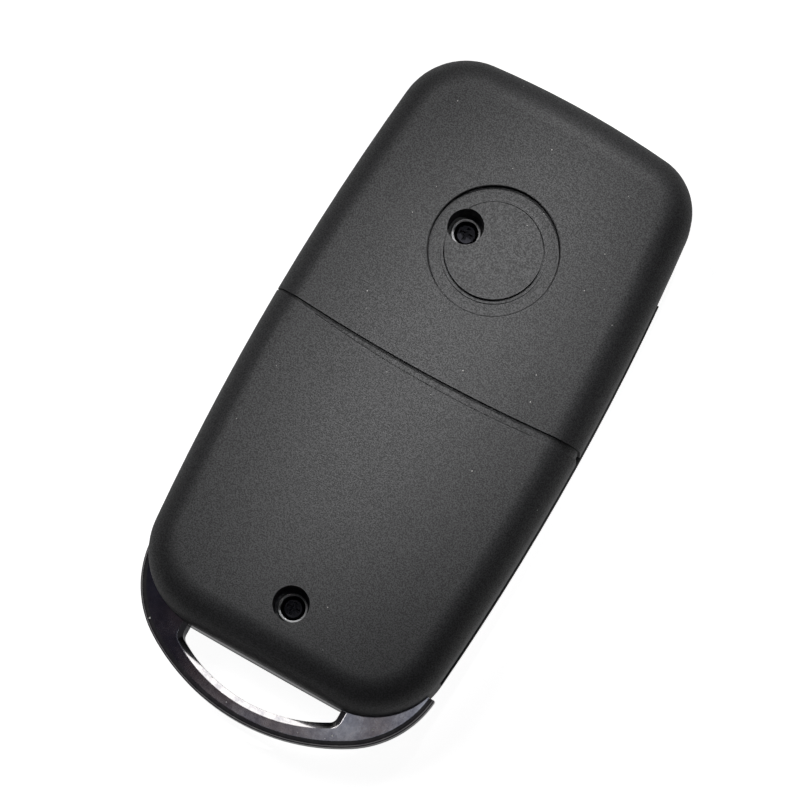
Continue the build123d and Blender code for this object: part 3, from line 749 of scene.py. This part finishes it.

# %% [markdown]
# ## Rims of the screw wells
# Each screw sits deep in a well, inside a raised rim that the screwdriver has polished. The rim is a round
# bead on the CAD collar. Its light grey colour is a painted highlight, so that it shows as a thin bright
# ring. One ring is made and placed on two points, which come from the boxes of the screws.

# %% Rims of the screw wells
screw_nodes = ("case_screw_upper", "case_screw_lower")
screw_boxes = [[Vector(corner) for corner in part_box(node)] for node in screw_nodes]
screw_axes = [(low + high) / 2 for low, high in screw_boxes]
rim_depth = 4.4 * mm
rim_radius, rim_bead = 1.505 * mm, 0.14 * mm

group, given, made = new_geometry("round_rim", {"Ring Radius": 1.5 * mm, "Bead Radius": 0.1 * mm})
ring = step(group, "CurvePrimitiveCircle", {"Resolution": 48, "Radius": given["Ring Radius"]})
bead = step(group, "CurvePrimitiveCircle", {"Resolution": 10, "Radius": given["Bead Radius"]})
rim = step(group, "CurveToMesh", {"Curve": ring, "Profile Curve": bead})
rims = step(group, "InstanceOnPoints", {"Points": given["Geometry"], "Instance": rim})
# Painted highlight: the rim's light grey colour paints a bright ring on the dark case.
rim_highlight_plastic = moulded_plastic(
    "rim_highlight_plastic", dark=(0.42, 0.42, 0.425), light=(0.66, 0.66, 0.67),
    rough=0.25, grain=0.16 * mm, contrast=2.0, depth=0.004 * mm,
)
close_group(group, rims, rim_highlight_plastic, made)
rim_places = [(axis.x, axis.y, back_height - rim_depth) for axis in screw_axes]
well_rims = swept_piece(
    "well_rims", rim_places, [], group, "case", "case_plastic", Ring_Radius=rim_radius, Bead_Radius=rim_bead
)
print(well_rims.name, len(well_rims.data.polygons), "faces")

# %% [markdown]
# ## Thread-forming shank
# The screws form their own thread in the plastic: a thin core, a tall sharp ridge of wide pitch and a point.
# The group winds a four-sided profile along a spiral round the core, and along a second spiral that narrows
# with the point. The CAD has a plain shank of about the thread's outside radius, and the thread stays just
# inside it.

# %% Thread-forming shank
point_end_radius = 0.03 * mm
point_thread_share = 0.7
point_thread_start = 0.2
group, given, made = new_geometry("thread_forming_shank", {
    "Core Radius": 0.4 * mm, "Thread Height": 0.2 * mm, "Pitch": 0.6 * mm,
    "Point Length": 1.0 * mm, "Shank Length": 6.0 * mm,
})


def lifted(geometry, height):
    """Geometry of the shank moved up by a height."""
    offset = shader_node(group, "CombineXYZ", Z=height).outputs[0]
    return step(group, "Transform", {"Geometry": geometry, "Translation": offset})


def thread(first_radius, height, foot):
    """The ridge wound from a radius to the core's radius over a height, from a foot upwards."""
    spiral = step(group, "CurveSpiral", {
        "Resolution": 28, "Rotations": math_node(group, "DIVIDE", height, given["Pitch"]), "Height": height,
        "Start Radius": first_radius, "End Radius": given["Core Radius"],
    })
    upright = step(group, "SetCurveNormal", {"Curve": spiral}, mode="Z_UP")
    ridge = step(group, "CurvePrimitiveCircle", {"Resolution": 4, "Radius": given["Thread Height"]})
    return lifted(sweep(group, upright, ridge), foot)


barrel_length = math_node(group, "SUBTRACT", given["Shank Length"], given["Point Length"])
barrel_middle = math_node(group, "ADD", given["Point Length"], math_node(group, "DIVIDE", barrel_length, 2.0))
barrel = step(group, "MeshCylinder", {
    "Vertices": 32, "Radius": given["Core Radius"], "Depth": barrel_length,
})
point = step(group, "MeshCone", {
    "Vertices": 32, "Radius Top": given["Core Radius"], "Radius Bottom": point_end_radius,
    "Depth": given["Point Length"],
})
barrel_thread = thread(
    given["Core Radius"], math_node(group, "SUBTRACT", barrel_length, given["Pitch"]), given["Point Length"]
)
point_thread = thread(
    math_node(group, "MULTIPLY", given["Core Radius"], point_thread_start),
    math_node(group, "MULTIPLY", given["Point Length"], point_thread_share),
    math_node(group, "MULTIPLY", given["Point Length"], 1 - point_thread_share),
)
shank = group.nodes.new("GeometryNodeJoinGeometry")
for part in (lifted(barrel, barrel_middle), point, barrel_thread, point_thread):
    feed(group, shank.inputs[0], part)
shanks = step(group, "InstanceOnPoints", {"Points": given["Geometry"], "Instance": shank.outputs[0]})
close_group(group, shanks, screw_steel, made)
print("group", group.name)

# %% [markdown]
# ## Case screws
# The heads of the CAD screws, with their cross recess, are right as they are. So each head is cut off its
# CAD screw just under the seat, closed, and joined to the threaded shanks. Both screws become one piece that
# stands for the two CAD nodes.

# %% Case screws
head_height = 1.0 * mm
head_overlap = 0.1 * mm
screw_corner_degrees = 35
screw_tip = screw_boxes[0][0].z
screw_seat = screw_boxes[0][1].z - head_height

screw_places = [(axis.x, axis.y, screw_tip) for axis in screw_axes]
case_screws = swept_piece(
    "case_screws", screw_places, [], group, "case", "screw_steel",
    Core_Radius=0.42 * mm, Thread_Height=0.17 * mm, Pitch=0.6 * mm, Point_Length=1.0 * mm,
    Shank_Length=screw_seat - screw_tip,
)
shape = bmesh.new()
shape.from_mesh(case_screws.data)
for node in screw_nodes:
    head = bmesh.new()
    head.from_mesh(nodes[node].data)
    bmesh.ops.remove_doubles(head, verts=head.verts, dist=weld_distance)
    whole = head.verts[:] + head.edges[:] + head.faces[:]
    cut = (0, 0, screw_seat - head_overlap)
    bmesh.ops.bisect_plane(head, geom=whole, plane_co=cut, plane_no=(0, 0, 1), clear_inner=True)
    bmesh.ops.holes_fill(head, edges=[edge for edge in head.edges if edge.is_boundary])
    loose = bpy.data.meshes.new("screw_head")
    head.to_mesh(loose)
    head.free()
    shape.from_mesh(loose)
    bpy.data.meshes.remove(loose)
for face in shape.faces:
    face.material_index = 0
shape.to_mesh(case_screws.data)
shape.free()
case_screws.data.materials.clear()
case_screws.data.materials.append(screw_steel)
sharpen(case_screws.data, screw_corner_degrees)
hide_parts("case_screw_upper", "case_screw_lower")
print(case_screws.name, len(case_screws.data.polygons), "faces")

# %% [markdown]
# ## Painted shade lines
# A second, thinner dark line along the loop side of the channel, and a dark ring along both edges of the
# badge recess's wall, are painted shade. They are far below what the CAD should carry, so each is a thin
# near-black bead sunk into its edge and swept along it.
# The first line is bowed like the channel: a parabola through the middle and the two ends of its loop side.

# %% Painted shade line group and the channel's shade line
shade_line, given, made = new_geometry("shade_line", {"Line Radius": 0.05 * mm})
path = step(shade_line, "MeshToCurve", {"Mesh": given["Geometry"]})
wire = step(shade_line, "CurvePrimitiveCircle", {"Resolution": 6, "Radius": given["Line Radius"]})
# Painted shade: the line's colour is near black.
shade_line_black = moulded_plastic(
    "shade_line_black", dark=(0.004, 0.004, 0.004), light=(0.01, 0.01, 0.0105),
    rough=0.6, grain=0.16 * mm, contrast=2.0, depth=0.001 * mm,
)
close_group(shade_line, sweep(shade_line, path, wire), shade_line_black, made)

channel_half_width = 19.0 * mm
channel_left_y, channel_middle_y, channel_right_y = 4.65 * mm, 3.05 * mm, 4.30 * mm
line_half_length = 13.6 * mm
line_steps = 40
line_sink = 0.02 * mm

slant = (channel_right_y - channel_left_y) / (2 * channel_half_width)
bow = ((channel_left_y + channel_right_y) / 2 - channel_middle_y) / channel_half_width**2
spots = [line_half_length * (2 * i / line_steps - 1) for i in range(line_steps + 1)]
points = [(x, channel_middle_y + slant * x + bow * x * x, back_height - line_sink) for x in spots]
edges = [(i, i + 1) for i in range(line_steps)]
# Painted shade: a near-black line along the loop side of the channel.
channel_shade_line = swept_piece(
    "channel_shade_line", points, edges, shade_line, "case", "case_plastic", Line_Radius=0.07 * mm
)
print(channel_shade_line.name, len(channel_shade_line.data.polygons), "faces")

# %% [markdown]
# ## Painted shade round the badge seat
# The badge seat is a round recess with a flat disc in it. Where its wall meets the back and the floor, a dark
# ring is painted as shade. Two circles of points, round the middle that the record gives, carry the shade
# line.

# %% Badge shade rings
shade_ring_facets = 96
floor_shade_ring = (7.28 * mm, back_height - 0.68 * mm)
rim_shade_ring = (7.32 * mm, back_height - 0.04 * mm)
mounts = {mount["name"]: mount["pos_m"] for mount in frame["record"]["mounts"]}
badge_x, badge_y = mounts["badge_seat"][:2]

points, edges = [], []
for radius, height in (floor_shade_ring, rim_shade_ring):
    first = len(points)
    for i in range(shade_ring_facets):
        turn = 2 * pi * i / shade_ring_facets
        points.append((badge_x + radius * cos(turn), badge_y + radius * sin(turn), height))
        edges.append((first + i, first + (i + 1) % shade_ring_facets))
# Painted shade: two near-black rings at the top and the foot of the recess's wall.
badge_shade_rings = swept_piece(
    "badge_shade_rings", points, edges, shade_line, "case", "case_plastic", Line_Radius=0.08 * mm
)
print(badge_shade_rings.name, len(badge_shade_rings.data.polygons), "faces")

# %% [markdown]
# ## Flip spring
# A coil of round wire drives the blade out and lifts the release cap back, so it is squeezed when the cap is
# pressed. The CAD coil has eight-sided wire and can't shorten. Here a round wire is swept along a helix that
# fills the CAD coil's box.

# %% Coil group
group, given, made = new_geometry("coiled_spring", {
    "Coil Radius": 5.0 * mm, "Coil Height": 3.0 * mm, "Turns": 3.5, "Wire Radius": 0.5 * mm,
})
helix = step(group, "CurveSpiral", {
    "Resolution": 40, "Rotations": given["Turns"], "Height": given["Coil Height"],
    "Start Radius": given["Coil Radius"], "End Radius": given["Coil Radius"],
})
upright = step(group, "SetCurveNormal", {"Curve": helix}, mode="Z_UP")
round_wire = step(group, "CurvePrimitiveCircle", {"Resolution": 14, "Radius": given["Wire Radius"]})
coil = sweep(group, upright, round_wire)
coils = step(group, "InstanceOnPoints", {"Points": given["Geometry"], "Instance": coil})
close_group(group, coils, spring_steel, made)
print("group", group.name)

# %% Flip spring
wire_radius = 0.5 * mm
spring_turns = 3.5
spring_corner_degrees = 40
low, high = (Vector(corner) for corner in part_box("flip_spring"))
middle = (low + high) / 2
flip_coil = swept_piece(
    "flip_coil", [(middle.x, middle.y, low.z + wire_radius)], [], group, "case", "spring_steel",
    Coil_Radius=(high.x - low.x) / 2 - wire_radius, Coil_Height=high.z - low.z - 2 * wire_radius,
    Turns=spring_turns, Wire_Radius=wire_radius,
)
sharpen(flip_coil.data, spring_corner_degrees)
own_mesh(flip_coil)
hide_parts("flip_spring")

# %% [markdown]
# ## Printed signs on the buttons
# Most remotes of this kind have a closed lock, an open lock and a car with its boot open, in white lines.
# The signs here are plain ones of that kind. Each is a few strokes, written in millimetres as they are seen
# from the button's side, and a flat ink profile is swept along them.
# They ride their buttons, so a pressed button takes its sign along.

# %% Ink and its line
ink = moulded_plastic(
    "white_ink", dark=(0.55, 0.55, 0.55), light=(0.72, 0.72, 0.72),
    rough=0.5, grain=0.1 * mm, contrast=1.0, depth=0.001 * mm,
)
printed_line, given, made = new_geometry("printed_line", {"Line Width": 0.3 * mm, "Ink Depth": 0.04 * mm})
path = step(printed_line, "MeshToCurve", {"Mesh": given["Geometry"]})
flat = step(printed_line, "SetCurveNormal", {"Curve": path}, mode="Z_UP")
profile = step(printed_line, "CurvePrimitiveQuadrilateral", {
    "Width": given["Line Width"], "Height": given["Ink Depth"],
})
close_group(printed_line, sweep(printed_line, flat, profile), ink, made)
print("group", printed_line.name)

# %% [markdown]
# ## Strokes of the signs
# A lock is a round-cornered body, a keyhole and a half-round shackle, and the open one has its shackle moved
# aside and up. The car is one outline with a lifted lid and two round wheels.
# Curves are worked out as arcs. The half width, top and foot of a lock's body are those of the middles of its
# corner arcs. Only straight strokes are written down as points.

# %% Strokes of the signs
lock_half_width, lock_top, lock_foot, lock_corner = 1.35, 0.05, -1.75, 0.35
shackle_radius, shackle_leg, shackle_end = 0.95, 0.45, 0.4
keyhole = [(0, -0.5), (0, -1.15)]
wheel_radius, axle_x, axle_y = 0.57, 1.92, -1.25


def arc(x, y, radius, first, last, count):
    """Points on an arc, angles in degrees."""
    turns = [radians(first + (last - first) * i / count) for i in range(count + 1)]
    return [(x + radius * cos(t), y + radius * sin(t)) for t in turns]


def padlock(shackle_x, shackle_y):
    """A round-cornered lock body, its keyhole and a shackle round a middle."""
    corners = (
        (lock_half_width, lock_foot, -90), (lock_half_width, lock_top, 0),
        (-lock_half_width, lock_top, 90), (-lock_half_width, lock_foot, 180),
    )
    body = [spot for x, y, turn in corners for spot in arc(x, y, lock_corner, turn, turn + 90, 4)]
    arch = arc(shackle_x, shackle_y, shackle_radius, 0, 180, 12)
    shackle = [(arch[0][0], shackle_y - shackle_leg), *arch, (arch[-1][0], shackle_end)]
    return [body + body[:1], shackle, keyhole]


sill = [(-1.35, -1.2), (1.35, -1.2)]
car_outline = [
    (-2.5, -1.2), (-3.3, -1.2), (-3.3, -0.35), (-1.95, 0.0), (-1.15, 0.9), (0.95, 0.9), (1.7, 0.05),
    (3.2, -0.15), (3.2, -1.2), (2.5, -1.2),
]
open_lid = [(1.7, 0.05), (3.0, 1.15)]
wheels = [arc(x, axle_y, wheel_radius, 0, 360, 20) for x in (-axle_x, axle_x)]
signs = {
    "lock": padlock(shackle_x=0, shackle_y=0.95),
    "unlock": padlock(shackle_x=1.9, shackle_y=1.25),
    "boot": [sill, car_outline, open_lid, *wheels],
}
print("strokes", {name: len(strokes) for name, strokes in signs.items()})

# %% [markdown]
# ## Signs in their places
# A stroke that ends where it began is closed, so its last point is dropped and an edge leads back to the
# first. The buttons face down, so the signs are mirrored along X to read rightly from below. Their middle and
# their height come from the box of each button.

# %% Button signs
same_place = 1e-6
for name, strokes in signs.items():
    low, high = (Vector(corner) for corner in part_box(f"{name}_button"))
    middle = (low + high) / 2
    points, edges = [], []
    for stroke in strokes:
        first = len(points)
        closed = dist(stroke[0], stroke[-1]) < same_place
        kept = stroke[:-1] if closed else stroke
        points += [(middle.x - u * mm, middle.y + v * mm, low.z) for u, v in kept]
        edges += [(first + i, first + i + 1) for i in range(len(kept) - 1)]
        if closed:
            edges.append((first + len(kept) - 1, first))
    sign = swept_piece(
        f"{name}_sign", points, edges, printed_line, name, "button_plastic",
        Line_Width=0.30 * mm, Ink_Depth=0.05 * mm,
    )
    print(sign.name, len(sign.data.polygons), "faces, on the button's face at", round(low.z / mm, 3), "mm")
